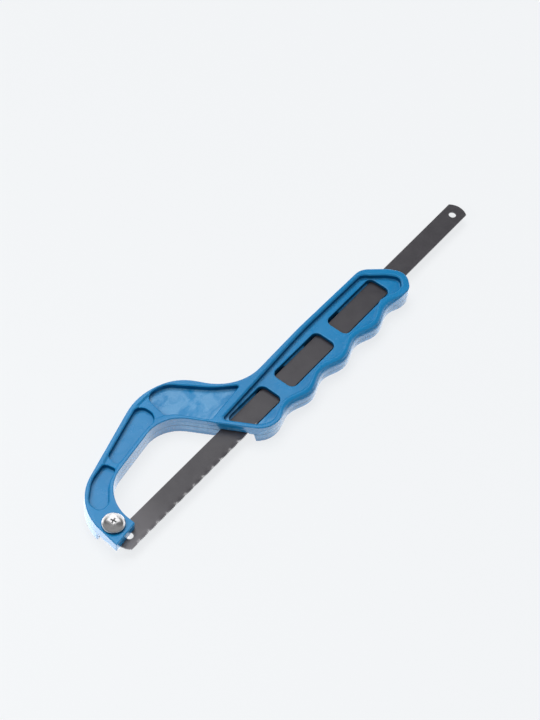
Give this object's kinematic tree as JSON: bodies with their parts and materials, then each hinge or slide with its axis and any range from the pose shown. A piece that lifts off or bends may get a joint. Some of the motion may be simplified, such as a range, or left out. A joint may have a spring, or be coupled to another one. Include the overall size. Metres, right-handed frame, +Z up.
{
  "type": "mini hacksaw",
  "caption": "Mini hacksaw with a one-piece moulded bow and finger-grooved handle, a long toothed blade through the handle and a screw clamp at the nose.",
  "frame": {"origin": "middle of the foot of the whole saw's box, on the lower face of the frame", "axes": "+X along the blade from the nose to the rear, +Y from the teeth towards the bow, +Z up through the screw head"},
  "size_m": [0.3198, 0.0692, 0.0162],
  "materials": {
    "blue_plastic": "satin moulded",
    "blade_steel": "dark satin",
    "bright_zinc": "bright plated",
    "dull_zinc": "dull plated"
  },
  "bodies": {
    "frame": {"frame": "blue_plastic"},
    "blade": {"blade": "blade_steel"},
    "screw": {"clamp_screw": "bright_zinc"},
    "clamp": {"clamp_plate": "dull_zinc", "lock_washer": "dull_zinc", "clamp_nut": "bright_zinc"}
  },
  "joints": [
    {"name": "blade_slide", "type": "slide", "parent": "frame", "child": "blade", "axis": [1, 0, 0], "range_m": [-0.06, 0.006]},
    {"name": "screw_turn", "type": "hinge", "parent": "frame", "child": "screw", "pos_m": [-0.1513, -0.00811, 0.0125], "axis": [0, 0, 1], "range_deg": [0, 360]},
    {"name": "clamp_travel", "type": "slide", "parent": "frame", "child": "clamp", "axis": [0, 0, -1], "range_m": [0, 0.0007]}
  ],
  "couplings": [
    {"joint": "screw_turn", "follows": "clamp_travel", "rad_per_m": 8976}
  ]
}
